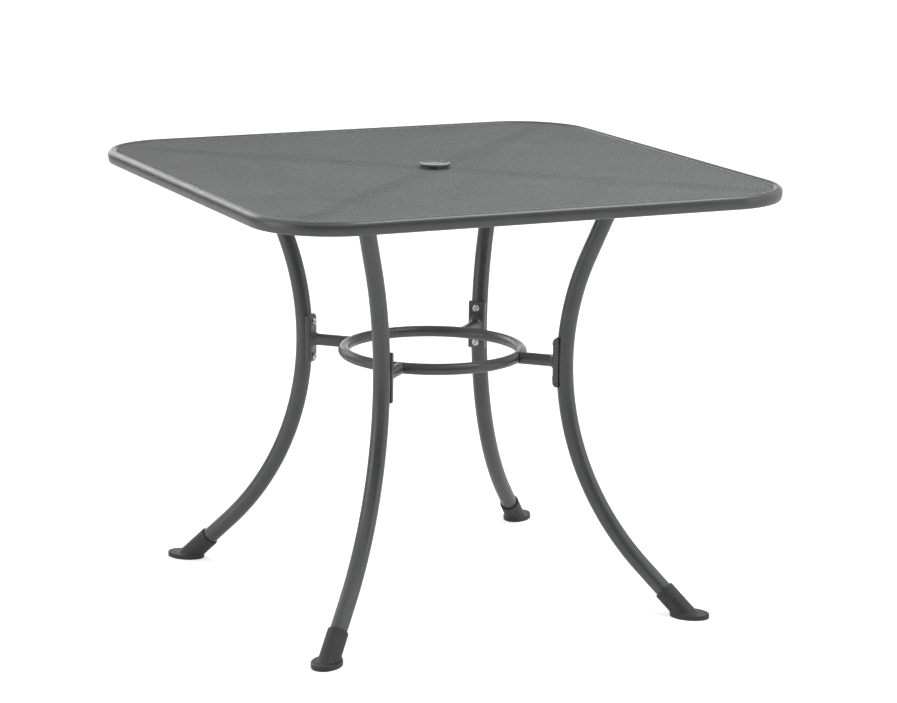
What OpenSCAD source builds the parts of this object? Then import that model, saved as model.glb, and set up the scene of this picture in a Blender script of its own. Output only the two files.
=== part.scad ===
// Square patio table with a tubular rim, a steel mesh top and four bowed legs.
// The legs lie in the diagonal planes and are tied at the waist by a ring and four arms.
// Origin: middle of the table on the floor. +X runs along the front edge, +Z is up.

/* [Top] */
// Side of the square top, over the rim
top_side = 900; // [840:10:980]
// Height of the rim's top above the floor
top_h = 720; // [700:5:760]
// Outer radius of the top's corners
corner_r = 130; // [80:5:160]
// Width of the rim tube, seen from above
rim_w = 16; // [14:1:22]
// Height of the rim tube
rim_h = 22; // [20:1:30]
// Radius of the rim tube's upper edges
rim_round = 7.5; // [3:0.5:8]
// Radius of the rim tube's lower edges
rim_foot_round = 5; // [2:0.5:8]
// Wall of the rim tube
rim_wall = 1.5; // [1:0.25:1.75]
// How far the mesh lies below the rim's top
mesh_drop = 1.8; // [1:0.2:4]
// Thickness of the mesh sheet
mesh_t = 2.5; // [1.5:0.5:4]
// Solid strip left along the sheet's edge and round the collar
mesh_border = 7; // [4:1:16]
// Long way of one diamond, along X, with its strand
diamond_l = 104; // [96:2:140]
// Short way of one diamond, along Y, with its strand
diamond_s = 52; // [48:2:80]
// Width of the strands between diamonds
strand_w = 5; // [3:0.5:10]

/* [Umbrella hole] */
// Bore of the collar that an umbrella pole passes through
pole_d = 44; // [36:1:50]
// Wall of the collar
collar_wall = 2; // [1.5:0.5:4]
// Length of the collar
collar_l = 40; // [30:1:60]
// How far the collar stands above the mesh
collar_rise = 2.5; // [0:0.5:4]
// Width of the cap's rim beyond the collar's bore
cap_lip = 4; // [3:0.5:8]
// Thickness of the cap's disc
cap_t = 4; // [3:0.5:6]
// Radius of the edge of the cap's disc
cap_edge_r = 0.8; // [0.3:0.1:1.2]
// Length of the cap's skirt inside the collar
skirt_l = 14; // [8:1:20]
// Wall of the cap's skirt
skirt_wall = 1.8; // [1.2:0.1:3]

/* [Rails under the mesh] */
// Width of each diagonal rail
rail_w = 30; // [26:1:40]
// Height of each diagonal rail
rail_h = 15; // [12:1:16]
// Wall of each diagonal rail
rail_wall = 1.5; // [1:0.25:2]

/* [Legs] */
// Outer diameter of a leg tube
leg_d = 28; // [24:0.5:29]
// Wall of a leg tube
leg_wall = 1.5; // [1:0.25:2.5]
// Distance from the table's middle to a leg's centre line at the waist
waist_r = 232; // [215:1:260]
// Height of the waist, where the ring and its arms lie
waist_z = 410; // [380:5:440]
// Radius of the leg's bend, to its centre line
bend_r = 462; // [430:2:500]
// Lean of a leg's straight upper end from vertical
top_lean = 23; // [18:1:26]
// Lean of a leg's straight lower end from vertical
foot_lean = 46; // [42:1:48]

/* [Leg plates] */
// Length of the plate welded on a leg's top, along the rail
plate_l = 98; // [92:1:120]
// Width of the plate
plate_w = 36; // [32:1:50]
// Thickness of the plate
plate_t = 4; // [3:0.5:6]
// Corner radius of the plate
plate_corner_r = 6; // [2:1:12]
// Distance between the plate's two bolts
plate_bolt_gap = 70; // [66:1:78]

/* [Ring and arms] */
// Radius of the ring, to the middle of its tube
ring_r = 148; // [120:1:165]
// Diameter of the ring's tube
ring_d = 19; // [16:0.5:22]
// Wall of the ring's tube
ring_wall = 1.5; // [1:0.25:2.5]
// Diameter of an arm between the ring and its saddle
arm_d = 20; // [16:0.5:22]
// Radius of the fillet where an arm spreads into its saddle
arm_fillet = 8; // [3:0.5:10]
// Height of a saddle along the leg
saddle_h = 83; // [80:1:110]
// Width of a saddle across the leg
saddle_w = 30; // [29.5:0.5:40]
// How far a saddle stands in from the leg's inner side
saddle_proud = 3.5; // [3:0.5:14]
// How far a saddle's cheeks stop short of the leg's centre line
saddle_cheek = 7; // [2:0.5:8]
// Radius of a saddle's upright inner edges
saddle_edge_r = 4; // [2:0.5:6]
// Slope cut off a saddle's inner face at its ends
saddle_slope = 5; // [2:0.5:8]

/* [Screws and nuts] */
// Diameter of a screw's or bolt's shank
screw_d = 6; // [5:0.5:6.5]
// Diameter of a saddle screw's round head
head_d = 12.5; // [11:0.5:14]
// Height of a saddle screw's head
head_h = 3.6; // [3:0.1:5]
// Hexagon socket of a saddle screw, across flats
socket_w = 4; // [3:0.5:5]
// Depth of the socket
socket_depth = 2.2; // [1.5:0.1:2.6]
// Diameter of the flat on top of a saddle screw's head
head_top_d = 7.8; // [6.5:0.1:9]
// Height of the head's upright edge
head_edge_h = 1.1; // [0.5:0.1:1.6]
// Distance between a saddle's two screws
screw_gap = 60; // [56:1:66]
// Outer diameter of a blind rivet nut
nut_d = 9; // [8:0.5:10]
// Length of a blind rivet nut
nut_l = 11; // [8:1:12]
// Length of nut left beyond a screw's end
thread_spare = 1; // [0.5:0.5:3]
// Across flats of a plate bolt's hexagon head
bolt_head_w = 10; // [9:0.5:12]
// Height of a plate bolt's head
bolt_head_h = 4; // [3:0.5:6]
// Outer diameter of a plate bolt's washer
washer_d = 12; // [11:0.5:13]
// Thickness of a plate bolt's washer
washer_t = 1.6; // [1:0.1:2.5]
// Diameter of the vent holes inside the welded tubes
vent_d = 6; // [4:0.5:10]

/* [Feet] */
// Wall of the sleeve that holds the leg's end
sleeve_wall = 3; // [1.5:0.25:4]
// Length of the sleeve, from its mouth to the floor along the leg
sleeve_l = 60; // [50:1:75]
// Length of the foot's oval pad, along the diagonal
pad_l = 66; // [58:1:84]
// Width of the pad
pad_w = 48; // [40:1:52]
// End radius of the pad's oval
pad_end_r = 19; // [16:0.5:20]
// Thickness of the pad
pad_t = 8; // [6:0.5:12]
// Height of the leg tube's lowest point above the floor
leg_lift = 5; // [3:0.5:8]
// How far the pad's middle lies outside the leg's centre line on the floor
pad_out = 2.5; // [0:0.5:6]

/* [Clearances] */
// Gap between pieces that are fixed together
seat_gap = 0.1; // [0.05:0.05:0.2]
// Gap between a shank and its hole
hole_gap = 0.3; // [0.2:0.05:0.5]
// Gap between a shank and the thread it screws into
thread_gap = 0.05; // [0.02:0.01:0.1]
// Gap round the cap's skirt in the collar
cap_gap = 0.4; // [0.3:0.05:0.8]

/* [Hidden] */
$fn = 96;
corners = ["front", "right", "back", "left"];
corner_angle = [225, 315, 45, 135];
function per_corner(piece) = [for (c = corners) str(piece, "_", c)];

anthracite = [0.25, 0.255, 0.26];
mesh_grey = [0.33, 0.335, 0.34];
black_plastic = [0.16, 0.16, 0.165];
cap_grey = [0.42, 0.425, 0.43];
steel = [0.74, 0.74, 0.74];
zinc = [0.62, 0.63, 0.65];

// Depth that a straight end runs into the bend, and how much thinner its wall is on each side
splice = 1;
hair = 0.01;
cut = 1;
far = 2000;

// Heights of the top's layers
rim_z = top_h - rim_h;
mesh_top = top_h - mesh_drop;
mesh_z = mesh_top - mesh_t;
rail_z = mesh_z - rail_h;
plate_z = rail_z - plate_t;
collar_top = mesh_top + collar_rise;

// The rim tube's edges are at most half as round as the tube is wide
shoulder_r = min(rim_round, rim_w / 2 - hair);
under_r = min(rim_foot_round, rim_w / 2 - hair);

// The opening inside the rim
well_side = top_side - 2 * rim_w;
well_r = corner_r - rim_w;
// The sheet's lower edge meets the round shoulder of the rim
sheet_depth = min(mesh_drop + mesh_t, shoulder_r);
sheet_reach = shoulder_r - sqrt(pow(shoulder_r, 2) - pow(shoulder_r - sheet_depth, 2)) - seat_gap;
sheet_side = well_side + 2 * sheet_reach;
sheet_r = well_r + sheet_reach;
// Distance from the middle to the rim's outside, along a diagonal
rim_corner_x = (top_side / 2 - corner_r) * sqrt(2) + corner_r;

collar_d = pole_d + 2 * collar_wall;
skirt_d = pole_d - 2 * cap_gap;
cap_d = pole_d + 2 * cap_lip;

// A leg's centre line in its diagonal plane: x is outwards and z is up
bend_x = waist_r + bend_r;
leg_r = leg_d / 2;
knee_x = bend_x - bend_r * cos(top_lean);
knee_z = waist_z + bend_r * sin(top_lean);
ankle_x = bend_x - bend_r * cos(foot_lean);
ankle_z = waist_z - bend_r * sin(foot_lean);
function upper_x(z) = knee_x + (z - knee_z) * tan(top_lean);
function lower_x(z) = ankle_x + (ankle_z - z) * tan(foot_lean);
upper_l = (top_h - knee_z) / cos(top_lean);
leg_end_z = leg_lift + leg_r * sin(foot_lean);
lower_l = (ankle_z - leg_end_z) / cos(foot_lean);
plate_x = upper_x(plate_z);

// A saddle and its screws, along x in the same plane
saddle_in = waist_r - leg_r - saddle_proud;
saddle_out = waist_r - saddle_cheek;
// A rivet nut's mouth lies just inside the bowed leg's surface, all the way round
function leg_bow(z) = bend_r - sqrt(bend_r * bend_r - z * z);
nut_in = waist_r - sqrt(leg_r * leg_r - nut_d * nut_d / 4) + leg_bow((screw_gap + nut_d) / 2);
screw_l = nut_in + nut_l - thread_spare - saddle_in;

sleeve_d = leg_d + 2 * (sleeve_wall + seat_gap);
pad_x = lower_x(0) + pad_out;
module at_corner(i) {
    rotate([0, 0, corner_angle[i]])
        children();
}

module at_corners() {
    for (a = corner_angle)
        rotate([0, 0, a])
            children();
}

// Rounded square, made of whole circles and rectangles
module rounded_square(side, r) {
    square([side - 2 * r, side], center = true);
    square([side, side - 2 * r], center = true);
    for (x = [-1, 1], y = [-1, 1])
        translate([x * (side / 2 - r), y * (side / 2 - r)])
            circle(r = r);
}

module rounded_plate(l, w, r) {
    square([l - 2 * r, w], center = true);
    square([l, w - 2 * r], center = true);
    for (x = [-1, 1], y = [-1, 1])
        translate([x * (l / 2 - r), y * (w / 2 - r)])
            circle(r = r);
}

// Section of the rim tube, standing on y = 0 and centred on x = 0
module rim_section(w, h, r_top, r_low) {
    translate([-w / 2, r_low])
        square([w, h - r_top - r_low]);
    translate([-w / 2 + r_top, h - r_top])
        square([w - 2 * r_top, r_top]);
    translate([-w / 2 + r_low, 0])
        square([w - 2 * r_low, r_low]);
    for (s = [-1, 1]) {
        translate([s * (w / 2 - r_top), h - r_top])
            circle(r = r_top);
        translate([s * (w / 2 - r_low), r_low])
            circle(r = r_low);
    }
}

module rim_tube_section() {
    difference() {
        rim_section(rim_w, rim_h, shoulder_r, under_r);
        translate([0, rim_wall])
            rim_section(rim_w - 2 * rim_wall, rim_h - 2 * rim_wall,
                shoulder_r - rim_wall, max(hair, under_r - rim_wall));
    }
}

// One bent tube round the top, with a vent into each rail
module rim() {
    color(anthracite)
        difference() {
            translate([0, 0, rim_z])
                for (i = [0 : 3])
                    rotate([0, 0, 90 * i]) {
                        translate([0, -(top_side - rim_w) / 2, 0])
                            rotate([90, 0, 90])
                                linear_extrude(height = top_side - 2 * corner_r, center = true)
                                    rim_tube_section();
                        translate([top_side / 2 - corner_r, top_side / 2 - corner_r, 0])
                            rotate_extrude(angle = 90)
                                translate([corner_r - rim_w / 2, 0])
                                    rim_tube_section();
                    }
            at_corners()
                translate([0, 0, rail_z + rail_h / 2])
                    rotate([0, 90, 0])
                        cylinder(d = vent_d, h = rim_corner_x - rim_w / 2);
        }
}

// A diamond is cut where its middle lies inside the sheet's border and clear of the collar
function edge_gap(x, y) =
    let (dx = max(0, abs(x) - (sheet_side / 2 - sheet_r)), dy = max(0, abs(y) - (sheet_side / 2 - sheet_r)))
    sheet_r - norm([dx, dy]);
function diamond_fits(p) =
    edge_gap(p[0], p[1]) > mesh_border && norm(p) > collar_d / 2 + mesh_border + strand_w;
// A strand runs between two diamonds, so each opening is smaller than its share of the sheet
open_scale = 1 - strand_w / (diamond_l * diamond_s / norm([diamond_l, diamond_s]));
columns = ceil(sheet_side / diamond_l);
rows = ceil(sheet_side / diamond_s);
diamond_places = [for (i = [-columns : columns], j = [-rows : rows])
    if ((i + j) % 2 == 0) [i * diamond_l / 2, j * diamond_s / 2]];

module diamond(l, s) {
    polygon([[l / 2, 0], [0, s / 2], [-l / 2, 0], [0, -s / 2]]);
}

// Expanded steel sheet let into the rim, its diamonds drawn coarser than the real ones
module mesh_panel() {
    color(mesh_grey)
        translate([0, 0, mesh_z])
            linear_extrude(height = mesh_t)
                difference() {
                    union() {
                        difference() {
                            rounded_square(sheet_side, sheet_r);
                            for (p = diamond_places)
                                if (diamond_fits(p))
                                    translate(p)
                                        diamond(diamond_l * open_scale, diamond_s * open_scale);
                        }
                        difference() {
                            rounded_square(sheet_side, sheet_r);
                            rounded_square(sheet_side - 2 * mesh_border, sheet_r - mesh_border);
                        }
                        circle(d = collar_d + 2 * mesh_border);
                    }
                    circle(d = collar_d + 2 * seat_gap);
                }
}

// Short tube through the mesh, welded to the rails' inner ends
module pole_collar() {
    color(anthracite)
        translate([0, 0, collar_top - collar_l])
            difference() {
                cylinder(d = collar_d, h = collar_l);
                translate([0, 0, -cut])
                    cylinder(d = pole_d, h = collar_l + 2 * cut);
            }
}

// Lift-out cap: a disc on the collar and a hollow skirt inside it
module pole_cap() {
    color(cap_grey)
        rotate_extrude()
            translate([0, collar_top]) {
                square([cap_d / 2 - cap_edge_r, cap_t]);
                square([cap_d / 2, cap_t - cap_edge_r]);
                translate([cap_d / 2 - cap_edge_r, cap_t - cap_edge_r])
                    circle(r = cap_edge_r);
                translate([skirt_d / 2 - skirt_wall, -skirt_l])
                    square([skirt_wall, skirt_l + cap_t / 2]);
            }
}

module rail_solid(w, h, inset) {
    translate([0, -w / 2, inset])
        cube([far, w, h]);
}

// Rectangular tube from the collar to the rim's corner, cut to fit both
module rail() {
    color(anthracite)
        translate([0, 0, rail_z])
            difference() {
                intersection() {
                    rail_solid(rail_w, rail_h, 0);
                    rotate([0, 0, -45])
                        cube([far, far, rail_h]);
                    rotate([0, 0, 45])
                        linear_extrude(height = rail_h)
                            rounded_square(well_side - 2 * seat_gap, well_r - seat_gap);
                }
                rail_solid(rail_w - 2 * rail_wall, rail_h - 2 * rail_wall, rail_wall);
                translate([0, 0, -cut])
                    cylinder(d = collar_d + 2 * seat_gap, h = rail_h + 2 * cut);
                for (s = [-1, 1])
                    translate([plate_x + s * plate_bolt_gap / 2, 0, -cut])
                        cylinder(d = nut_d + 2 * thread_gap, h = rail_wall + 2 * cut);
            }
}

// Part of a leg's bend, between two angles above the waist
module bend(low, high) {
    translate([bend_x, 0, waist_z])
        rotate([90, 0, 0])
            rotate([0, 0, 180 - high])
                rotate_extrude(angle = high - low, $fn = 256)
                    translate([bend_r, 0])
                        children();
}

module tube_section(d, wall) {
    difference() {
        circle(d = d);
        circle(d = d - 2 * wall);
    }
}

// Straight end of a leg: a hair thinner than the bend that it runs into, so that the two fuse
module straight_end(l) {
    translate([0, 0, -splice])
        linear_extrude(height = l + splice)
            tube_section(leg_d - 2 * hair, leg_wall - 2 * hair);
}

// Places a saddle screw, its nut or their holes, along x from the table's middle
module at_screws() {
    for (s = [-1, 1])
        translate([0, 0, waist_z + s * screw_gap / 2])
            rotate([0, 90, 0])
                children();
}

module leg() {
    color(anthracite)
        difference() {
            union() {
                bend(-foot_lean, top_lean)
                    tube_section(leg_d, leg_wall);
                translate([knee_x, 0, knee_z])
                    rotate([0, top_lean, 0])
                        straight_end(upper_l);
                translate([ankle_x, 0, ankle_z])
                    rotate([0, 180 - foot_lean, 0])
                        straight_end(lower_l);
            }
            translate([plate_x - far / 2, -far / 2, plate_z])
                cube([far, far, far]);
            at_screws()
                cylinder(d = nut_d + 2 * thread_gap, h = waist_r);
        }
}

// Flat plate on the leg's top, bolted up under the rail
module leg_plate() {
    color(anthracite)
        translate([plate_x, 0, plate_z])
            difference() {
                linear_extrude(height = plate_t)
                    rounded_plate(plate_l, plate_w, plate_corner_r);
                for (s = [-1, 1])
                    translate([s * plate_bolt_gap / 2, 0, -cut])
                        cylinder(d = screw_d + 2 * hole_gap, h = plate_t + 2 * cut);
            }
}

// Oval of four arcs that meet smoothly
module pad_outline() {
    end_x = pad_l / 2 - pad_end_r;
    side_y = (end_x * end_x - pow(pad_w / 2 - pad_end_r, 2)) / (2 * (pad_w / 2 - pad_end_r));
    side_r = pad_w / 2 + side_y;
    meet_x = end_x * side_r / norm([end_x, side_y]);
    for (s = [-1, 1])
        translate([s * end_x, 0])
            circle(r = pad_end_r);
    intersection() {
        square([2 * meet_x, pad_w], center = true);
        translate([0, -side_y])
            circle(r = side_r);
        translate([0, side_y])
            circle(r = side_r);
    }
}

// Plastic shoe: a sleeve over the leg's end and a flat oval pad
module foot() {
    color(black_plastic)
        difference() {
            union() {
                linear_extrude(height = pad_t)
                    translate([pad_x, 0])
                        pad_outline();
                translate([lower_x(0), 0, 0])
                    rotate([0, -foot_lean, 0])
                        translate([0, 0, -sleeve_l])
                            cylinder(d = sleeve_d, h = 2 * sleeve_l);
            }
            translate([lower_x(leg_end_z), 0, leg_end_z])
                rotate([0, -foot_lean, 0])
                    cylinder(d = leg_d + 2 * seat_gap, h = 2 * sleeve_l);
            translate([-far / 2, -far / 2, -far])
                cube([far, far, far]);
        }
}

// Ring with a vent under each arm
module ring() {
    color(anthracite)
        translate([0, 0, waist_z])
            difference() {
                rotate_extrude($fn = 192)
                    translate([ring_r, 0])
                        tube_section(ring_d, ring_wall);
                at_corners()
                    translate([ring_r, 0, 0])
                        rotate([0, 90, 0])
                            cylinder(d = vent_d, h = ring_d);
            }
}

// Side view of a saddle: x inwards from the leg, y up
module saddle_side() {
    h = saddle_h / 2;
    polygon([[saddle_out, -h], [saddle_out, h], [saddle_in + saddle_slope, h], [saddle_in, h - saddle_slope],
        [saddle_in, saddle_slope - h], [saddle_in + saddle_slope, -h]]);
}

// Plan of a saddle, with round upright edges on the inner side
module saddle_plan() {
    depth = saddle_out - saddle_in;
    translate([saddle_in + saddle_edge_r, -saddle_w / 2])
        square([depth - saddle_edge_r, saddle_w]);
    translate([saddle_in, -saddle_w / 2 + saddle_edge_r])
        square([depth, saddle_w - 2 * saddle_edge_r]);
    for (s = [-1, 1])
        translate([saddle_in + saddle_edge_r, s * (saddle_w / 2 - saddle_edge_r)])
            circle(r = saddle_edge_r);
}

// Round bar from the ring that spreads into the saddle
module arm_bar() {
    translate([ring_r, 0, 0])
        rotate([0, 90, 0])
            cylinder(d = arm_d, h = saddle_in - ring_r + cut);
    translate([saddle_in, 0, 0])
        rotate([0, -90, 0])
            rotate_extrude()
                difference() {
                    square([arm_d / 2 + arm_fillet, arm_fillet]);
                    translate([arm_d / 2 + arm_fillet, arm_fillet])
                        circle(r = arm_fillet);
                }
}

// Cast arm: the bar and the saddle that clasps the leg
module arm() {
    color(anthracite)
        difference() {
            union() {
                intersection() {
                    translate([0, 0, waist_z])
                        rotate([90, 0, 0])
                            linear_extrude(height = saddle_w, center = true)
                                saddle_side();
                    translate([0, 0, waist_z - saddle_h / 2])
                        linear_extrude(height = saddle_h)
                            saddle_plan();
                }
                intersection() {
                    translate([0, 0, waist_z])
                        arm_bar();
                    translate([0, -(saddle_w / 2 - saddle_edge_r), waist_z - saddle_h / 2])
                        cube([far, saddle_w - 2 * saddle_edge_r, saddle_h]);
                }
            }
            bend(-top_lean, top_lean)
                circle(d = leg_d + 2 * seat_gap);
            translate([0, 0, waist_z])
                rotate_extrude($fn = 192)
                    translate([ring_r, 0])
                        circle(d = ring_d + 2 * seat_gap);
            at_screws()
                cylinder(d = screw_d + 2 * hole_gap, h = waist_r);
        }
}

// Round-headed screws with a hexagon socket, two in each saddle
module arm_screws() {
    color(steel)
        at_corners()
            at_screws()
                translate([0, 0, saddle_in])
                    difference() {
                        union() {
                            cylinder(d = screw_d, h = screw_l);
                            translate([0, 0, -head_h])
                                cylinder(d1 = head_top_d, d2 = head_d, h = head_h - head_edge_h);
                            translate([0, 0, -head_edge_h])
                                cylinder(d = head_d, h = head_edge_h);
                        }
                        translate([0, 0, -head_h - cut])
                            cylinder(d = socket_w / cos(30), h = socket_depth + cut, $fn = 6);
                    }
}

module rivet_nut() {
    difference() {
        cylinder(d = nut_d, h = nut_l);
        translate([0, 0, -cut])
            cylinder(d = screw_d + 2 * thread_gap, h = nut_l + 2 * cut);
    }
}

module arm_rivet_nuts() {
    color(zinc)
        at_corners()
            at_screws()
                translate([0, 0, nut_in])
                    rivet_nut();
}

module at_plate_bolts() {
    at_corners()
        for (s = [-1, 1])
            translate([plate_x + s * plate_bolt_gap / 2, 0, 0])
                children();
}

// Hexagon bolts that hold the leg plates to the rails, from below
module plate_bolts() {
    color(zinc)
        at_plate_bolts() {
            translate([0, 0, plate_z - washer_t - bolt_head_h])
                cylinder(d = bolt_head_w / cos(30), h = bolt_head_h, $fn = 6);
            translate([0, 0, plate_z - washer_t])
                cylinder(d = screw_d, h = washer_t + plate_t + nut_l - thread_spare);
        }
}

module plate_washers() {
    color(zinc)
        at_plate_bolts()
            translate([0, 0, plate_z - washer_t])
                difference() {
                    cylinder(d = washer_d, h = washer_t);
                    translate([0, 0, -cut])
                        cylinder(d = screw_d + 2 * hole_gap, h = washer_t + 2 * cut);
                }
}

module rail_rivet_nuts() {
    color(zinc)
        at_plate_bolts()
            translate([0, 0, rail_z])
                rivet_nut();
}

rim();
mesh_panel();
pole_collar();
pole_cap();
ring();
for (i = [0 : 3]) {
    at_corner(i) rail();
    at_corner(i) leg();
    at_corner(i) leg_plate();
    at_corner(i) foot();
    at_corner(i) arm();
}
arm_screws();
arm_rivet_nuts();
plate_bolts();
plate_washers();
rail_rivet_nuts();
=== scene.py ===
import math

import bmesh
import bpy
from mathutils import Matrix, Vector


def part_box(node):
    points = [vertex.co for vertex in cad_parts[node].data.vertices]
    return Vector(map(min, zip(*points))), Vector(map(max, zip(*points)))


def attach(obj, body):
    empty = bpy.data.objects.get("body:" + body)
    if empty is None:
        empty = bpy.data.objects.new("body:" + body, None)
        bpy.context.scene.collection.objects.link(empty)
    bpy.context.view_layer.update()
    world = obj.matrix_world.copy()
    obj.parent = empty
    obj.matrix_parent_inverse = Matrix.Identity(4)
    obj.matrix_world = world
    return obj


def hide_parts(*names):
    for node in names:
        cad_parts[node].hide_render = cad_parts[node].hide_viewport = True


print("loading the packed table")
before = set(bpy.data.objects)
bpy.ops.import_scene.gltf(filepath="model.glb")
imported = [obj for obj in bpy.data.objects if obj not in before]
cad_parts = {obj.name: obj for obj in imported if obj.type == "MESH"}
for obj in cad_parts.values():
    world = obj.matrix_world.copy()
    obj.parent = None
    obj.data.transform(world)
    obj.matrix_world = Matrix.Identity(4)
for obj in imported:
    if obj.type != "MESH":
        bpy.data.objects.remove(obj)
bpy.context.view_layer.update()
scene = bpy.context.scene
corners = {"front": 225, "right": 315, "back": 45, "left": 135}   # degrees round +Z


# materials

def newMaterial(name):
    material = bpy.data.materials.new(name)
    material.use_nodes = True
    nodes = material.node_tree.nodes
    return material, nodes, material.node_tree.links, nodes["Principled BSDF"]


def noiseField(nodes, links, scale, detail=2.0, rough=0.5, stretch=(1, 1, 1)):
    place = nodes.new("ShaderNodeTexCoord")
    mapping = nodes.new("ShaderNodeMapping")
    mapping.inputs["Scale"].default_value = stretch
    field = nodes.new("ShaderNodeTexNoise")
    field.inputs["Scale"].default_value = scale
    field.inputs["Detail"].default_value = detail
    field.inputs["Roughness"].default_value = rough
    links.new(place.outputs["Object"], mapping.inputs["Vector"])
    links.new(mapping.outputs["Vector"], field.inputs["Vector"])
    return field


def mapped(nodes, links, source, low, high, fromLow=0.35, fromHigh=0.65):
    ramp = nodes.new("ShaderNodeMapRange")
    ramp.inputs["From Min"].default_value = fromLow
    ramp.inputs["From Max"].default_value = fromHigh
    ramp.inputs["To Min"].default_value = low
    ramp.inputs["To Max"].default_value = high
    links.new(source, ramp.inputs["Value"])
    return ramp.outputs["Result"]


def tinted(nodes, links, factor, dark, light):
    mix = nodes.new("ShaderNodeMix")
    mix.data_type = "RGBA"
    mix.inputs["A"].default_value = (*dark, 1)
    mix.inputs["B"].default_value = (*light, 1)
    links.new(factor, mix.inputs["Factor"])
    return mix.outputs["Result"]


def bumped(nodes, links, height, distance, strength, under=None):
    bump = nodes.new("ShaderNodeBump")
    bump.inputs["Distance"].default_value = distance
    bump.inputs["Strength"].default_value = strength
    links.new(height, bump.inputs["Height"])
    if under is not None:
        links.new(under, bump.inputs["Normal"])
    return bump.outputs["Normal"]


coatLook = {"dark": (0.04, 0.041, 0.0422), "light": (0.049, 0.05, 0.0514), "gloss": 0.8, "patchScale": 22,
            "roughLow": 0.33, "roughHigh": 0.39, "roughScale": 60, "peelScale": 700,
            "peelDepth": 0.00006, "peelStrength": 0.2, "grainScale": 4200, "grainStrength": 0.12}


def powderCoat(name, look):
    material, nodes, links, shader = newMaterial(name)
    shader.inputs["Specular IOR Level"].default_value = look["gloss"]
    patch = noiseField(nodes, links, look["patchScale"], 4)
    links.new(tinted(nodes, links, mapped(nodes, links, patch.outputs["Fac"], 0, 1),
                     look["dark"], look["light"]), shader.inputs["Base Color"])
    sheen = noiseField(nodes, links, look["roughScale"], 3)
    links.new(mapped(nodes, links, sheen.outputs["Fac"], look["roughLow"], look["roughHigh"]),
              shader.inputs["Roughness"])
    peel = noiseField(nodes, links, look["peelScale"], 2)     # the skin of a sprayed and baked coat
    grain = noiseField(nodes, links, look["grainScale"], 1)
    normal = bumped(nodes, links, peel.outputs["Fac"], look["peelDepth"], look["peelStrength"])
    normal = bumped(nodes, links, grain.outputs["Fac"], look["peelDepth"], look["grainStrength"], normal)
    links.new(normal, shader.inputs["Normal"])
    return material


meshLook = dict(coatLook, dark=(0.074, 0.0755, 0.0775), light=(0.088, 0.0895, 0.092), gloss=1.0,
                patchScale=9, roughLow=0.28, roughHigh=0.36, roughScale=14)

footLook = {"dark": (0.024, 0.024, 0.0245), "light": (0.031, 0.031, 0.0315), "patchScale": 70,
            "roughLow": 0.5, "roughHigh": 0.62, "grainScale": 1500, "grainDepth": 0.00012,
            "grainStrength": 0.4, "dust": (0.06, 0.058, 0.055), "dustHeight": 0.006, "dustMost": 0.6}


def footPlastic(look):
    material, nodes, links, shader = newMaterial("footPlastic")
    patch = noiseField(nodes, links, look["patchScale"], 4)
    colour = tinted(nodes, links, mapped(nodes, links, patch.outputs["Fac"], 0, 1),
                    look["dark"], look["light"])
    place = nodes.new("ShaderNodeTexCoord")                   # a trace of dust by the floor
    split = nodes.new("ShaderNodeSeparateXYZ")
    links.new(place.outputs["Object"], split.inputs["Vector"])
    dust = nodes.new("ShaderNodeMath")
    dust.operation = "MULTIPLY"
    links.new(mapped(nodes, links, split.outputs["Z"], look["dustMost"], 0, 0, look["dustHeight"]),
              dust.inputs[0])
    links.new(patch.outputs["Fac"], dust.inputs[1])
    mix = nodes.new("ShaderNodeMix")
    mix.data_type = "RGBA"
    mix.inputs["B"].default_value = (*look["dust"], 1)
    links.new(dust.outputs["Value"], mix.inputs["Factor"])
    links.new(colour, mix.inputs["A"])
    links.new(mix.outputs["Result"], shader.inputs["Base Color"])
    links.new(mapped(nodes, links, patch.outputs["Fac"], look["roughLow"], look["roughHigh"]),
              shader.inputs["Roughness"])
    grain = noiseField(nodes, links, look["grainScale"], 2)
    links.new(bumped(nodes, links, grain.outputs["Fac"], look["grainDepth"], look["grainStrength"]),
              shader.inputs["Normal"])
    return material


capLook = {"dark": (0.085, 0.086, 0.088), "light": (0.1, 0.101, 0.103), "patchScale": 120,
           "roughLow": 0.3, "roughHigh": 0.42, "ringScale": 900, "ringWander": 0.6,
           "ringDepth": 0.00003, "ringStrength": 0.3}


def capPlastic(look):
    material, nodes, links, shader = newMaterial("capPlastic")
    patch = noiseField(nodes, links, look["patchScale"], 4)
    factor = mapped(nodes, links, patch.outputs["Fac"], 0, 1)
    links.new(tinted(nodes, links, factor, look["dark"], look["light"]), shader.inputs["Base Color"])
    links.new(mapped(nodes, links, patch.outputs["Fac"], look["roughLow"], look["roughHigh"]),
              shader.inputs["Roughness"])
    place = nodes.new("ShaderNodeTexCoord")                   # turning marks of the mould
    rings = nodes.new("ShaderNodeTexWave")
    rings.wave_type = "RINGS"
    rings.rings_direction = "Z"
    rings.inputs["Scale"].default_value = look["ringScale"]
    rings.inputs["Distortion"].default_value = look["ringWander"]
    links.new(place.outputs["Object"], rings.inputs["Vector"])
    links.new(bumped(nodes, links, rings.outputs["Fac"], look["ringDepth"], look["ringStrength"]),
              shader.inputs["Normal"])
    return material


stainlessLook = {"dark": (0.5, 0.49, 0.48), "light": (0.64, 0.63, 0.62), "roughLow": 0.2, "roughHigh": 0.34,
                 "patchScale": 420, "scratchScale": 2520, "scratchStretch": 6, "scratchDepth": 0.00003,
                 "scratchStrength": 0.25}
zincLook = dict(stainlessLook, dark=(0.42, 0.43, 0.45), light=(0.56, 0.57, 0.59), roughLow=0.3,
                roughHigh=0.46, patchScale=260, scratchScale=1560)


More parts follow.
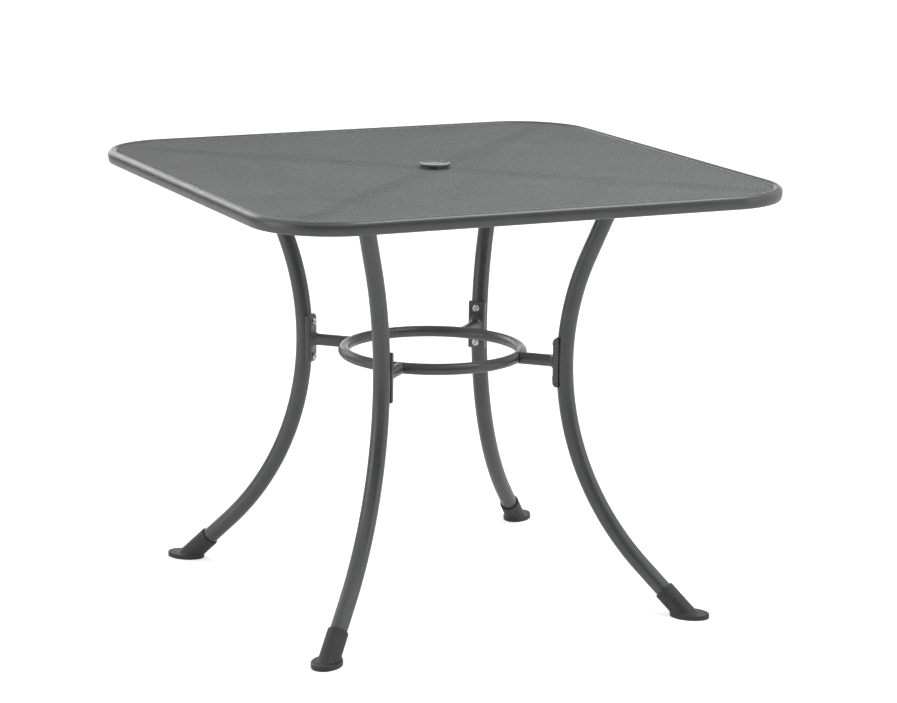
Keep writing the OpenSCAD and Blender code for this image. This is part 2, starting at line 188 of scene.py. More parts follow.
def bareMetal(name, look):
    material, nodes, links, shader = newMaterial(name)
    shader.inputs["Metallic"].default_value = 1
    patch = noiseField(nodes, links, look["patchScale"], 5, 0.6)
    links.new(tinted(nodes, links, mapped(nodes, links, patch.outputs["Fac"], 0, 1),
                     look["dark"], look["light"]), shader.inputs["Base Color"])
    links.new(mapped(nodes, links, patch.outputs["Fac"], look["roughLow"], look["roughHigh"]),
              shader.inputs["Roughness"])
    scratch = noiseField(nodes, links, look["scratchScale"], 2, 0.5, (1, 1, look["scratchStretch"]))
    links.new(bumped(nodes, links, scratch.outputs["Fac"], look["scratchDepth"], look["scratchStrength"]),
              shader.inputs["Normal"])
    return material


print("mixing the finishes")
coat = powderCoat("powderCoat", coatLook)
meshCoat = powderCoat("meshCoat", meshLook)
foot = footPlastic(footLook)
capFinish = capPlastic(capLook)
stainless = bareMetal("stainlessSteel", stainlessLook)
zinc = bareMetal("zincPlate", zincLook)


# mesh helpers

def newPiece(name, points, faces, material, sharpAngle=35):
    mesh = bpy.data.meshes.new(name)
    mesh.from_pydata([tuple(p) for p in points], [], faces)
    piece = bpy.data.objects.new(name, mesh)
    scene.collection.objects.link(piece)
    return dressed(piece, material, sharpAngle)


def dressed(piece, material, sharpAngle=35):
    work = bmesh.new()
    work.from_mesh(piece.data)
    bmesh.ops.remove_doubles(work, verts=work.verts, dist=1e-6)
    bmesh.ops.recalc_face_normals(work, faces=work.faces)
    work.to_mesh(piece.data)
    work.free()
    piece.data.materials.clear()
    piece.data.materials.append(material)
    piece.data.shade_smooth()
    piece.data.set_sharp_from_angle(angle=math.radians(sharpAngle))
    return piece


def sweep(rings, closed):
    # joins rings of points into a tube, round again if closed, or with flat ends
    count = len(rings[0])
    points = [p for ring in rings for p in ring]
    faces = []
    for i in range(len(rings) if closed else len(rings) - 1):
        here, there = i * count, (i + 1) % len(rings) * count
        for j in range(count):
            k = (j + 1) % count
            faces.append((here + j, here + k, there + k, there + j))
    if not closed:
        faces.append(tuple(range(count))[::-1])
        faces.append(tuple(range(len(points) - count, len(points))))
    return points, faces


def atCorner(points, corner):
    turn = Matrix.Rotation(math.radians(corners[corner]), 3, "Z")
    return [turn @ Vector(p) for p in points]


def finished(piece, body, slot, *nodes):
    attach(piece, body)
    if nodes:
        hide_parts(*nodes)


def applied(piece):
    # turns what the modifiers make into the piece's own plain mesh
    graph = bpy.context.evaluated_depsgraph_get()
    made = bpy.data.meshes.new_from_object(piece.evaluated_get(graph))
    piece.modifiers.clear()
    piece.data = made
    return piece


# rim: one oval-sided tube, bent round four corners

rimSize = {"cornerRadius": 0.13, "width": 0.016, "topRound": 0.0075, "lowRound": 0.005, "sideRound": 0.028,
           "sideHeight": 0.0116, "roundSteps": 8, "sideSteps": 4, "cornerSteps": 30, "straightSteps": 16,
           "seamAt": 0.08, "seamWidth": 0.005, "seamRise": 0.00012, "seamSteps": 8}


def rimSection(size, height):
    # outline as (across, up): bulging sides run smoothly into the upper and lower rounds
    half, side = size["width"] / 2, size["sideRound"]
    upper = math.asin((height - size["topRound"] - size["sideHeight"]) / (side - size["topRound"]))
    lower = math.asin((size["sideHeight"] - size["lowRound"]) / (side - size["lowRound"]))
    arcs = [(size["lowRound"], -math.pi / 2, -lower, size["roundSteps"]),
            (side, -lower, upper, size["sideSteps"]),
            (size["topRound"], upper, math.pi / 2, size["roundSteps"])]
    outline = []
    for radius, first, last, steps in arcs:
        for i in range(steps + 1):
            angle = first + (last - first) * i / steps
            bend = max(min(angle, upper), -lower)             # where the round leaves the side's arc
            x = half - side + (side - radius) * math.cos(bend) + radius * math.cos(angle)
            y = size["sideHeight"] + (side - radius) * math.sin(bend) + radius * math.sin(angle)
            if not outline or (outline[-1][0] - x) ** 2 + (outline[-1][1] - y) ** 2 > 1e-10:
                outline.append((x, y))
    return outline + [(-x, y) for x, y in reversed(outline)]


def makeRim(size):
    low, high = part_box("rim")
    outline = rimSection(size, high.z - low.z)
    side = high.x - size["width"] / 2
    radius = size["cornerRadius"] - size["width"] / 2
    middle = side - radius
    stations = []
    for quarter in range(4):
        turn = Matrix.Rotation(math.radians(90 * quarter), 3, "Z")
        for i in range(size["cornerSteps"] + 1):
            angle = math.radians(90 * quarter + 90 * i / size["cornerSteps"])
            out = Vector((math.cos(angle), math.sin(angle), 0))
            stations.append((turn @ Vector((middle, middle, 0)) + out * radius, out, 0))
        out = turn @ Vector((0, 1, 0))
        for i in range(1, size["straightSteps"]):
            along = middle - 2 * middle * i / size["straightSteps"]
            stations.append((turn @ Vector((along, side, 0)), out, 0))
    for i in range(size["seamSteps"] + 1):                    # the tube's two ends are welded here
        part = i / size["seamSteps"]
        along = size["seamAt"] + size["seamWidth"] * (0.5 - part)
        rise = size["seamRise"] * 0.5 * (1 - math.cos(2 * math.pi * part))
        stations.append((Vector((-side, along, 0)), Vector((-1, 0, 0)), rise))
    stations.sort(key=lambda s: math.atan2(s[0].y, s[0].x))
    centre = (high.z - low.z) / 2
    rings = []
    for place, out, swell in stations:
        ring = []
        for across, up in outline:
            grow = 1 + swell / centre
            ring.append(place + out * across * grow + Vector((0, 0, low.z + centre + (up - centre) * grow)))
        rings.append(ring)
    piece = newPiece("rimTube", *sweep(rings, True), coat)
    finished(piece, "table", "powder_coat", "rim")


print("bending the rim")
makeRim(rimSize)


# top: expanded steel mesh, a lattice of one cell

latticeSize = {"longWay": 0.0234, "shortWay": 0.0116, "bondHalf": 0.0027, "bondLength": 0.0042,
               "tipGap": 0.0034, "thickness": 0.0016, "bondTilt": 7, "strandTilt": 28, "strandHalf": 0.0015,
               "strandDepth": 0.8, "reach": 0.006, "holeReach": 0.004, "edge": 0.0015, "drop": 0.0002,
               "cutterRise": 0.01}


def makeCell(size):
    # one flat bond and the two twisted strands that leave it on its far side
    w, b, e, thick = size["bondHalf"], size["bondLength"] / 2, size["tipGap"], size["thickness"]
    stepX, stepY = size["longWay"] / 2, size["shortWay"] / 2
    slope = math.tan(math.radians(size["bondTilt"]))
    points = [Vector((x, y, y * slope)) for x, y in ((-b, w), (b, w), (e, 0), (b, -w), (-b, -w), (-e, 0))]
    points += [Vector((-e / 2, 0, -thick)), Vector((e / 2, 0, -thick))]
    faces = [(0, 5, 4, 3, 2, 1), (0, 1, 7, 6), (4, 6, 7, 3)]
    tilt = math.radians(size["strandTilt"])
    for side, near in ((1, (1, 2, 7)), (-1, (0, 5, 6))):
        far = Vector((side * stepX, stepY, 0))
        run = (far - Vector((side * (b + e), w, 0))).normalized()
        across = Vector((-run.y, run.x, 0)) * side            # level, towards the far side
        half, down = size["strandHalf"], thick * size["strandDepth"]
        edge = across * half * math.cos(tilt) + Vector((0, 0, half * math.sin(tilt)))
        under = across * math.sin(tilt) - Vector((0, 0, math.cos(tilt)))
        first = len(points)
        points += [far / 2 + edge, far / 2 - edge, far / 2 + under * down]
        points += [far + Vector((-side * e, 0, 0)), far + Vector((-side * b, -w, -w * slope)),
                   far + Vector((-side * e / 2, 0, -thick))]
        middle, last = range(first, first + 3), range(first + 3, first + 6)
        for start, end in ((near, middle), (middle, last)):
            for i in range(3):
                j = (i + 1) % 3
                faces.append((start[i], start[j], end[j], end[i]))
    mesh = bpy.data.meshes.new("latticeCell")
    mesh.from_pydata(points, [], faces)
    return bpy.data.objects.new("latticeCell", mesh)


class Tree:
    # a short way to write a Geometry Nodes tree
    def __init__(self, name, inputs):
        self.tree = bpy.data.node_groups.new(name, "GeometryNodeTree")
        self.tree.interface.new_socket("Geometry", in_out="OUTPUT", socket_type="NodeSocketGeometry")
        self.sockets = {}
        for label, kind in inputs.items():
            self.sockets[label] = self.tree.interface.new_socket(label, in_out="INPUT", socket_type=kind)
        self.given = self.tree.nodes.new("NodeGroupInput")

    def add(self, kind, inputs=(), **settings):
        node = self.tree.nodes.new(kind)
        for key, value in settings.items():
            setattr(node, key, value)
        for key, value in dict(inputs).items():
            if isinstance(value, bpy.types.NodeSocket):
                self.tree.links.new(value, node.inputs[key])
            else:
                node.inputs[key].default_value = value
        return node

    def value(self, label):
        return self.given.outputs[label]

    def math(self, operation, a, b=0.0):
        return self.add("ShaderNodeMath", {0: a, 1: b}, operation=operation).outputs[0]

    def end(self, geometry):
        out = self.tree.nodes.new("NodeGroupOutput")
        self.tree.links.new(geometry, out.inputs["Geometry"])

    def on(self, piece, values):
        modifier = piece.modifiers.new(self.tree.name, "NODES")
        modifier.node_group = self.tree
        for label, value in values.items():
            modifier[self.sockets[label].identifier] = value


def latticeTree():
    tree = Tree("expandedMesh", {"Cell": "NodeSocketObject", "Long Way": "NodeSocketFloat",
                                 "Short Way": "NodeSocketFloat", "Side": "NodeSocketFloat",
                                 "Corner Radius": "NodeSocketFloat", "Reach": "NodeSocketFloat",
                                 "Hole Radius": "NodeSocketFloat", "Finish": "NodeSocketMaterial"})
    longWay, shortWay, side = tree.value("Long Way"), tree.value("Short Way"), tree.value("Side")
    half = tree.math("MULTIPLY", side, 0.5)
    rowStep = tree.math("MULTIPLY", shortWay, 0.5)
    columns = tree.math("CEIL", tree.math("DIVIDE", half, longWay))
    rows = tree.math("CEIL", tree.math("DIVIDE", half, rowStep))
    columns = tree.math("ADD", columns, 2.0)
    rows = tree.math("ADD", rows, 2.0)
    wide = tree.math("MULTIPLY", columns, tree.math("MULTIPLY", longWay, 2.0))
    deep = tree.math("MULTIPLY", rows, tree.math("MULTIPLY", rowStep, 2.0))
    countX = tree.math("ADD", tree.math("MULTIPLY", columns, 2.0), 1.0)
    countY = tree.math("ADD", tree.math("MULTIPLY", rows, 2.0), 1.0)
    grid = tree.add("GeometryNodeMeshGrid", {"Size X": wide, "Size Y": deep, "Vertices X": countX,
                                             "Vertices Y": countY})
    place = tree.add("GeometryNodeInputPosition").outputs["Position"]
    here = tree.add("ShaderNodeSeparateXYZ", {0: place}).outputs
    row = tree.math("ROUND", tree.math("DIVIDE", here["Y"], rowStep))
    odd = tree.math("FLOORED_MODULO", row, 2.0)
    shift = tree.math("MULTIPLY", odd, tree.math("MULTIPLY", longWay, 0.5))
    offset = tree.add("ShaderNodeCombineXYZ", {"X": shift}).outputs[0]
    staggered = tree.add("GeometryNodeSetPosition", {"Geometry": grid.outputs["Mesh"], "Offset": offset})
    straight = tree.math("SUBTRACT", half, tree.value("Corner Radius"))
    beyond = []
    for axis in ("X", "Y"):
        past = tree.math("SUBTRACT", tree.math("ABSOLUTE", here[axis]), straight)
        beyond.append(tree.math("POWER", tree.math("MAXIMUM", past, 0.0), 2.0))
    distance = tree.math("SQRT", tree.math("ADD", beyond[0], beyond[1]))
    limit = tree.math("ADD", tree.value("Corner Radius"), tree.value("Reach"))
    outside = tree.math("GREATER_THAN", distance, limit)
    fromMiddle = tree.add("ShaderNodeVectorMath", {0: place}, operation="LENGTH").outputs["Value"]
    inHole = tree.math("LESS_THAN", fromMiddle, tree.value("Hole Radius"))
    kept = tree.add("GeometryNodeDeleteGeometry",
                    {"Geometry": staggered.outputs["Geometry"],
                     "Selection": tree.math("MAXIMUM", outside, inHole)})
    cell = tree.add("GeometryNodeObjectInfo", {"Object": tree.value("Cell")})
    copies = tree.add("GeometryNodeInstanceOnPoints", {"Points": kept.outputs["Geometry"],
                                                       "Instance": cell.outputs["Geometry"]})
    real = tree.add("GeometryNodeRealizeInstances", {"Geometry": copies.outputs["Instances"]})
    joined = tree.add("GeometryNodeMergeByDistance", {"Geometry": real.outputs["Geometry"],
                                                      "Distance": 0.00001})
    painted = tree.add("GeometryNodeSetMaterial", {"Geometry": joined.outputs["Geometry"],
                                                   "Material": tree.value("Finish")})
    tree.end(painted.outputs["Geometry"])
    return tree


def panelOutline(side, radius, steps=24):
    points = []
    for quarter in range(4):
        for i in range(steps + 1):
            angle = math.radians(90 * quarter + 90 * i / steps)
            turn = Matrix.Rotation(math.radians(90 * quarter), 3, "Z")
            middle = turn @ Vector((side - radius, side - radius, 0))
            points.append(middle + Vector((math.cos(angle), math.sin(angle), 0)) * radius)
    return points


def cutter(name, outline, low, high):
    rings = [[p + Vector((0, 0, z)) for p in outline] for z in (low, high)]
    return newPiece(name, *sweep(rings, False), meshCoat)


def makePanel(size):
    low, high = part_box("mesh_panel")
    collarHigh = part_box("pole_collar")[1]
    cell = makeCell(size)
    piece = bpy.data.objects.new("meshPanel", bpy.data.meshes.new("meshPanel"))
    scene.collection.objects.link(piece)
    corner = rimSize["cornerRadius"] - rimSize["width"]
    latticeTree().on(piece, {"Cell": cell, "Long Way": size["longWay"], "Short Way": size["shortWay"],
                             "Side": 2 * high.x, "Corner Radius": corner, "Reach": size["reach"],
                             "Hole Radius": collarHigh.x - size["holeReach"], "Finish": meshCoat})
    applied(piece)
    rise = size["strandHalf"] * math.sin(math.radians(size["strandTilt"]))
    work = bmesh.new()
    work.from_mesh(piece.data)
    bmesh.ops.translate(work, verts=work.verts, vec=(0, 0, high.z - rise - size["drop"]))
    bmesh.ops.holes_fill(work, edges=[e for e in work.edges if e.is_boundary], sides=8)
    bmesh.ops.recalc_face_normals(work, faces=work.faces)
    print("lattice:", len(work.faces), "faces,", sum(e.is_boundary for e in work.edges), "open edges")
    work.to_mesh(piece.data)
    work.free()
    span = size["cutterRise"]
    outline = panelOutline(high.x + size["edge"], corner + size["edge"])
    sheet = cutter("sheetCutter", outline, low.z - span, high.z + span)
    hole = cutter("holeCutter", panelOutline(collarHigh.x, collarHigh.x),
                  low.z - 2 * span, high.z + 2 * span)
    for other, kind in ((sheet, "INTERSECT"), (hole, "DIFFERENCE")):
        cut = piece.modifiers.new(kind, "BOOLEAN")
        cut.operation = kind
        cut.object = other
        cut.solver = "MANIFOLD"
    applied(piece)
    for other in (sheet, hole):
        bpy.data.objects.remove(other)
    dressed(piece, meshCoat, 20)
    finished(piece, "table", "mesh", "mesh_panel")


print("weaving the top")
makePanel(latticeSize)


# legs: round tubes, bowed in the diagonal planes

legSize = {"diameter": 0.028, "waistRadius": 0.232, "waistHeight": 0.41, "bendRadius": 0.462,
           "topLean": 23, "footLean": 46, "bendSteps": 44, "segments": 40, "endHeight": 0.02}


def circleRing(centre, across, side, radius, segments):
    ring = []
    for i in range(segments):
        angle = 2 * math.pi * i / segments
        ring.append(centre + across * radius * math.cos(angle) + side * radius * math.sin(angle))
    return ring


def legRings(size, topZ):
    # rings of points in the leg's own plane: x outwards, z up
    bend, radius = size["bendRadius"], size["diameter"] / 2
    middle = Vector((size["waistRadius"] + bend, 0, size["waistHeight"]))
    sideways = Vector((0, 1, 0))
    rings = []
    for i in range(size["bendSteps"] + 1):
        turned = (size["footLean"] + size["topLean"]) * i / size["bendSteps"]
        lean = math.radians(turned - size["footLean"])
        out = Vector((math.cos(lean), 0, -math.sin(lean)))
        rings.append(circleRing(middle - out * bend, out, sideways, radius, size["segments"]))

    def run(ring, lean, height):
        along = Vector((math.sin(lean), 0, math.cos(lean)))
        return [p + along * ((height - p.z) / along.z) for p in ring]

    rings.append(run(rings[-1], math.radians(size["topLean"]), topZ))
    rings.insert(0, run(rings[0], math.radians(-size["footLean"]), size["endHeight"]))
    return rings


def makeLegs(size):
    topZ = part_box("leg_plate_front")[0].z
    points, faces = sweep(legRings(size, topZ), False)
    for corner in corners:
        piece = newPiece("leg" + corner.title(), atCorner(points, corner), faces, coat)
        finished(piece, "table", "powder_coat", "leg_" + corner)


print("bending the legs")
makeLegs(legSize)


# ring at the waist

ringSize = {"radius": 0.148, "steps": 120, "segments": 28}


def makeRing(size):
    low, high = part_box("ring")
    tube = (high.z - low.z) / 2
    rings = []
    for i in range(size["steps"]):
        angle = 2 * math.pi * i / size["steps"]
        out = Vector((math.cos(angle), math.sin(angle), 0))
        centre = out * size["radius"] + Vector((0, 0, (low.z + high.z) / 2))
        rings.append(circleRing(centre, out, Vector((0, 0, 1)), tube, size["segments"]))
    piece = newPiece("waistRing", *sweep(rings, True), coat)
    finished(piece, "table", "powder_coat", "ring")


print("turning the ring")
makeRing(ringSize)


# cast arms and moulded feet: soft-edged copies of the frame's own solids

castSize = {"voxel": 0.0009, "smoothing": 4, "keep": 0.5}
footSize = {"voxel": 0.001, "smoothing": 5, "keep": 0.5}


def softCopy(node, name, size, material):
    piece = bpy.data.objects.new(name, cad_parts[node].data.copy())
    scene.collection.objects.link(piece)
    work = bmesh.new()
    work.from_mesh(piece.data)
    bmesh.ops.remove_doubles(work, verts=work.verts, dist=1e-6)
    work.to_mesh(piece.data)
    work.free()
    remesh = piece.modifiers.new("remesh", "REMESH")
    remesh.mode = "VOXEL"
    remesh.voxel_size = size["voxel"]
    smooth = piece.modifiers.new("smooth", "SMOOTH")
    smooth.iterations = size["smoothing"]
    smooth.factor = size["keep"]
    applied(piece)
    return dressed(piece, material, 60)


def makeSoft(nodePrefix, piecePrefix, size, material, slot):
    first = softCopy(nodePrefix + "_front", piecePrefix + "Front", size, material)
    for corner, angle in corners.items():
        if corner == "front":
            piece = first
        else:
            piece = first.copy()
            piece.name = piecePrefix + corner.title()
            piece.data = first.data.copy()
            piece.data.transform(Matrix.Rotation(math.radians(angle - corners["front"]), 4, "Z"))
            scene.collection.objects.link(piece)
    for corner in corners:
        piece = bpy.data.objects[piecePrefix + corner.title()]
        finished(piece, "table", slot, nodePrefix + "_" + corner)


print("casting the arms and moulding the feet")
makeSoft("arm", "arm", castSize, coat, "powder_coat")
makeSoft("foot", "shoe", footSize, foot, "foot_plastic")


# cap: dished disc with a raised lip and a hollow skirt

capSize = {"edgeRound": 0.0011, "lip": 0.0026, "dish": 0.0008, "dishRun": 0.0035, "edgeHeight": 0.0024,
           "underCut": 0.0018, "underRun": 0.0004, "segments": 96, "skirtRadius": 0.0216,
           "skirtWall": 0.0018, "skirtBevel": 0.0006}


def makeCap(size):
    low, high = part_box("pole_cap")
    rim, top = high.x, high.z
    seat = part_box("pole_collar")[1].z
    r, skirt, wall = size["edgeRound"], size["skirtRadius"], size["skirtWall"]
    run, bevel = size["underRun"], size["skirtBevel"]
    flat = rim - size["lip"] - size["dishRun"]
    profile = [(0, top - size["dish"]), (flat * 0.5, top - size["dish"]), (flat, top - size["dish"])]
    for i in range(1, 7):
        t = i / 6
        ease = t * t * (3 - 2 * t)
        profile.append((flat + size["dishRun"] * t, top - size["dish"] * (1 - ease)))
    for i in range(9):
        angle = math.radians(90 - 90 * i / 8)
        profile.append((rim - r + r * math.cos(angle), top - r + r * math.sin(angle)))
    profile += [(rim, top - size["edgeHeight"]), (rim - run, top - size["edgeHeight"] - run),
                (rim - size["underCut"], seat), (skirt, seat), (skirt, low.z + bevel),
                (skirt - bevel, low.z), (skirt - wall, low.z), (skirt - wall, seat), (0, seat)]
    count, points, faces = len(profile), [], []
    for i in range(size["segments"]):
        angle = 2 * math.pi * i / size["segments"]
        points += [Vector((x * math.cos(angle), x * math.sin(angle), z)) for x, z in profile]
        here, there = i * count, (i + 1) % size["segments"] * count
        faces += [(here + j, here + j + 1, there + j + 1, there + j) for j in range(count - 1)]
    piece = newPiece("poleCap", points, faces, capFinish)
    finished(piece, "cap", "cap", "pole_cap")


print("pressing the cap")
makeCap(capSize)


# screws: button heads with a hexagon socket, two in each saddle

armScrew = {"headRadius": 0.00625, "headHeight": 0.0036, "headEdge": 0.0009, "topRadius": 0.0036,
            "domeSteps": 8, "socket": 0.004, "socketDepth": 0.0022, "socketTip": 0.00033, "tipShare": 0.2,
            "socketEdge": 0.0003, "shank": 0.003, "length": 0.0155, "gap": 0.06, "proud": 0.0035,
            "segments": 36}


def screwMesh(size):
    # points along +X, from the head's top to the shank's end
    count, height, radius = size["segments"], size["headHeight"], size["headRadius"]
    topRadius, shank, edge = size["topRadius"], size["shank"], size["socketEdge"]
    profile = [(topRadius, -height)]
    for i in range(1, size["domeSteps"] + 1):
        angle = math.pi / 2 * i / size["domeSteps"]
        profile.append((topRadius + (radius - topRadius) * math.sin(angle),
                        -height + (height - size["headEdge"]) * (1 - math.cos(angle))))
    profile += [(radius, 0), (shank, 0), (shank, size["length"])]
    work = bmesh.new()
    rings = []
    turns = [2 * math.pi * i / count for i in range(count)]
    hexagon = []
    for angle in turns:
        flat = (angle + math.pi / 6) % (math.pi / 3) - math.pi / 6
        hexagon.append(size["socket"] / 2 / math.cos(flat))

    def ring(radii, x):
        return [work.verts.new((x, r * math.cos(a), r * math.sin(a))) for r, a in zip(radii, turns)]

    floor = size["socketDepth"] - height
    rings.append(ring([h * size["tipShare"] for h in hexagon], floor + size["socketTip"]))
    rings.append(ring(hexagon, floor))
    rings.append(ring(hexagon, edge - height))
    rings.append(ring([h + edge for h in hexagon], -height))
    for r, x in profile:
        rings.append(ring([r] * count, x))
    for a, b in zip(rings, rings[1:]):
        for i in range(count):
            j = (i + 1) % count
            work.faces.new((a[i], a[j], b[j], b[i]))
    work.faces.new(rings[0][::-1])
    work.faces.new(rings[-1])
    bmesh.ops.recalc_face_normals(work, faces=work.faces)
    mesh = bpy.data.meshes.new("screw")
    work.to_mesh(mesh)
    work.free()
    return bpy.data.objects.new("screw", mesh)


def screwTree():
    # four saddles round the middle, two screws in each
    tree = Tree("saddleScrews", {"Screw": "NodeSocketObject", "Seat Radius": "NodeSocketFloat",
                                 "Height": "NodeSocketFloat", "Gap": "NodeSocketFloat",
                                 "Finish": "NodeSocketMaterial"})
    line = tree.add("GeometryNodeMeshLine", {"Count": 8})
    index = tree.add("GeometryNodeInputIndex").outputs[0]
    quarter = tree.math("FLOOR", tree.math("DIVIDE", index, 2.0))
    upper = tree.math("SUBTRACT", tree.math("MODULO", index, 2.0), 0.5)
    angle = tree.math("MULTIPLY_ADD", quarter, math.pi / 2)
    angle.node.inputs[2].default_value = math.pi / 4
    radius = tree.value("Seat Radius")
    x = tree.math("MULTIPLY", radius, tree.math("COSINE", angle))
    y = tree.math("MULTIPLY", radius, tree.math("SINE", angle))
    z = tree.math("ADD", tree.value("Height"), tree.math("MULTIPLY", upper, tree.value("Gap")))
    place = tree.add("ShaderNodeCombineXYZ", {"X": x, "Y": y, "Z": z}).outputs[0]
    points = tree.add("GeometryNodeSetPosition", {"Geometry": line.outputs["Mesh"], "Position": place})
    turn = tree.add("ShaderNodeCombineXYZ", {"Z": angle}).outputs[0]
    screw = tree.add("GeometryNodeObjectInfo", {"Object": tree.value("Screw")})
    copies = tree.add("GeometryNodeInstanceOnPoints", {"Points": points.outputs["Geometry"],
                                                       "Instance": screw.outputs["Geometry"],
                                                       "Rotation": turn})
    real = tree.add("GeometryNodeRealizeInstances", {"Geometry": copies.outputs["Instances"]})
    painted = tree.add("GeometryNodeSetMaterial", {"Geometry": real.outputs["Geometry"],
                                                   "Material": tree.value("Finish")})
    tree.end(painted.outputs["Geometry"])
    return tree


def makeScrews(size):
    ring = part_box("ring")
    seat = legSize["waistRadius"] - legSize["diameter"] / 2 - size["proud"]
    screw = screwMesh(size)
    piece = bpy.data.objects.new("saddleScrews", bpy.data.meshes.new("saddleScrews"))
    scene.collection.objects.link(piece)
    screwTree().on(piece, {"Screw": screw, "Seat Radius": seat, "Height": (ring[0].z + ring[1].z) / 2,
                           "Gap": size["gap"], "Finish": stainless})
    applied(piece)
    dressed(piece, stainless, 40)
    finished(piece, "table", "screws", "arm_screws")


print("driving the screws")
makeScrews(armScrew)


# the frame's own pieces under the top keep their shape and get a finish

print("finishing the rails and plates")
for node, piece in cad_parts.items():
    if node.startswith(("rail_rivet", "plate_bolts", "plate_washers", "arm_rivet")):
        finish = zinc
    elif node.startswith(("rail", "leg_plate", "pole_collar")):
        finish = coat
    else:
        continue
    piece.data.materials.clear()
    piece.data.materials.append(finish)


# studio

studio = {"floorRadius": 30.0, "floorGrey": 0.8, "floorRough": 0.9, "floorGloss": 0.1, "floorGlow": 0.5,
          "floorSheen": 0.15, "sky": 0.8, "panelGrey": 0.03}
# what the gloss sees of the dark room round the white floor: radius, lower and upper height, then the
# middle and half of its arc in degrees
panels = {"sidePanel": (4.5, 0.0, 0.9, 128, 19), "frontPanel": (4.2, 0.0, 2.4, 254, 49)}
ceiling = {"at": (0.4, 1.6), "height": 4.4, "radius": 0.7}
hood = {"left": 0.3, "right": 6.5, "back": 4.7, "front": 4.2, "low": 2.1, "high": 3.3}


def brightFor(nodes, links, *rays):
    # 1 for the named kinds of ray and 0 for the others
    path = nodes.new("ShaderNodeLightPath")
    result = path.outputs[rays[0]]
    for ray in rays[1:]:
        either = nodes.new("ShaderNodeMath")
        either.operation = "MAXIMUM"
        links.new(result, either.inputs[0])
        links.new(path.outputs[ray], either.inputs[1])
        result = either.outputs[0]
    return result


def stageMesh(name, points, faces, material):
    mesh = bpy.data.meshes.new(name)
    mesh.from_pydata(points, [], faces)
    mesh.materials.append(material)
    piece = bpy.data.objects.new(name, mesh)
    scene.collection.objects.link(piece)
    return piece


def makeStudio(size):
    material, nodes, links, shader = newMaterial("studioFloor")
    shader.inputs["Base Color"].default_value = (size["floorGrey"],) * 3 + (1,)
    shader.inputs["Roughness"].default_value = size["floorRough"]
    shader.inputs["Specular IOR Level"].default_value = size["floorGloss"]
    sheen = nodes.new("ShaderNodeMath")                       # white to the camera, less so to the gloss
    sheen.operation = "MULTIPLY"
    sheen.inputs[1].default_value = size["floorSheen"]
    links.new(brightFor(nodes, links, "Is Glossy Ray", "Is Transmission Ray"), sheen.inputs[0])
    glow = nodes.new("ShaderNodeMath")
    glow.operation = "MULTIPLY_ADD"
    glow.inputs[1].default_value = size["floorGlow"]
    links.new(brightFor(nodes, links, "Is Camera Ray"), glow.inputs[0])
    links.new(sheen.outputs[0], glow.inputs[2])
    shader.inputs["Emission Color"].default_value = (1, 1, 1, 1)
    links.new(glow.outputs[0], shader.inputs["Emission Strength"])
    ring = [(size["floorRadius"] * math.cos(a), size["floorRadius"] * math.sin(a), 0)
            for a in (2 * math.pi * i / 64 for i in range(64))]
    stageMesh("studioFloor", ring, [tuple(range(64))], material)

    world = bpy.data.worlds.new("studio")
    scene.world = world
    world.use_nodes = True
    nodes, links = world.node_tree.nodes, world.node_tree.links
    mix = nodes.new("ShaderNodeMix")
    mix.inputs["A"].default_value = size["sky"]
    mix.inputs["B"].default_value = 1.0
    links.new(brightFor(nodes, links, "Is Camera Ray", "Is Glossy Ray", "Is Transmission Ray"),
              mix.inputs["Factor"])
    links.new(mix.outputs["Result"], nodes["Background"].inputs["Strength"])
    nodes["Background"].inputs["Color"].default_value = (1, 1, 1, 1)


def makePanels(size):
    # dark panels out of sight, which only the gloss of the finishes sees
    material, nodes, links, shader = newMaterial("darkPanel")
    shader.inputs["Base Color"].default_value = (size["panelGrey"],) * 3 + (1,)
    shader.inputs["Roughness"].default_value = 1
    made = []
    for name, (radius, low, high, middle, half) in panels.items():
        steps = 48
        angles = [math.radians(middle - half + 2 * half * i / steps) for i in range(steps + 1)]
        points = [(radius * math.cos(a), radius * math.sin(a), z) for a in angles for z in (low, high)]
        faces = [(2 * i, 2 * i + 1, 2 * i + 3, 2 * i + 2) for i in range(steps)]
        made.append(stageMesh(name, points, faces, material))
    x, y = ceiling["at"]
    circle = [(x + ceiling["radius"] * math.cos(a), y + ceiling["radius"] * math.sin(a), ceiling["height"])
              for a in (2 * math.pi * i / 48 for i in range(48))]
    made.append(stageMesh("ceilingPanel", circle, [tuple(range(48))], material))
    slope = [(hood["left"], hood["back"], hood["low"]), (hood["right"], hood["back"], hood["low"]),
             (hood["right"], hood["front"], hood["high"]), (hood["left"], hood["front"], hood["high"])]
    made.append(stageMesh("hoodPanel", slope, [(0, 1, 2, 3)], material))
    for panel in made:
        panel.visible_camera = False
        panel.visible_diffuse = False
        panel.visible_shadow = False
        panel.visible_transmission = False


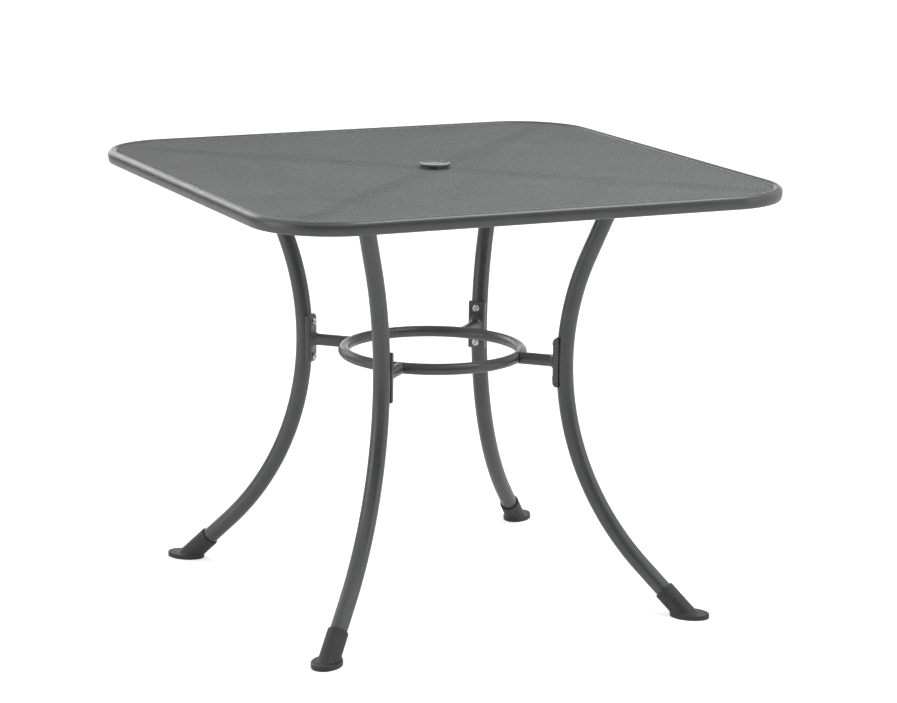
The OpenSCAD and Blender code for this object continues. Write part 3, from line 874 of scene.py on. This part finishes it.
lamps = {"backBox": {"at": (-1.25, 4.6, 2.85), "aim": (-1.25, 0, 1.6), "wide": 3.1, "high": 1.2,
                     "power": 42},
         "lowBox": {"at": (1.5, 5.4, 1.3), "aim": (1.5, 0, 1.3), "wide": 8.0, "high": 1.3, "power": 52},
         "topBox": {"at": (1.45, -0.95, 3.5), "aim": (0.1, -0.3, 0.6), "wide": 1.5, "high": 1.5,
                    "power": 50},
         "leftBox": {"at": (-3.2, 0.1, 1.0), "aim": (0, 0, 0.5), "wide": 1.3, "high": 1.4, "power": 9},
         "rightBox": {"at": (2.6, -2.3, 1.0), "aim": (0, 0, 0.5), "wide": 1.0, "high": 1.4, "power": 5}}


def makeLamps(size):
    for name, lamp in size.items():
        light = bpy.data.lights.new(name, "AREA")
        light.shape = "RECTANGLE"
        light.size, light.size_y = lamp["wide"], lamp["high"]
        light.energy = lamp["power"]
        holder = bpy.data.objects.new(name, light)
        scene.collection.objects.link(holder)
        holder.location = lamp["at"]
        beam = Vector(lamp["aim"]) - Vector(lamp["at"])
        holder.rotation_euler = beam.to_track_quat("-Z", "Y").to_euler()


# the camera was fitted to the photo's outlines

cameraSet = {"at": (-1.948528, -4.251304, 1.443599), "azimuth": -24.950, "elevation": 12.4958,
             "roll": 0.6993, "focalPixels": 2870.8136, "pixelsWide": 897, "sensorWide": 36, "farClip": 100}


def makeCamera(size):
    data = bpy.data.cameras.new("camera")
    data.sensor_fit = "HORIZONTAL"
    data.sensor_width = size["sensorWide"]
    data.lens = size["focalPixels"] / size["pixelsWide"] * data.sensor_width
    data.clip_end = size["farClip"]
    camera = bpy.data.objects.new("camera", data)
    scene.collection.objects.link(camera)
    turn = Matrix.Rotation(math.radians(size["azimuth"]), 4, "Z")
    turn @= Matrix.Rotation(math.radians(90 - size["elevation"]), 4, "X")
    turn @= Matrix.Rotation(math.radians(size["roll"]), 4, "Z")
    camera.matrix_world = Matrix.Translation(size["at"]) @ turn
    scene.camera = camera


print("lighting the studio")
makeStudio(studio)
makePanels(studio)
makeLamps(lamps)
makeCamera(cameraSet)
scene.view_settings.view_transform = "Standard"

print("done")
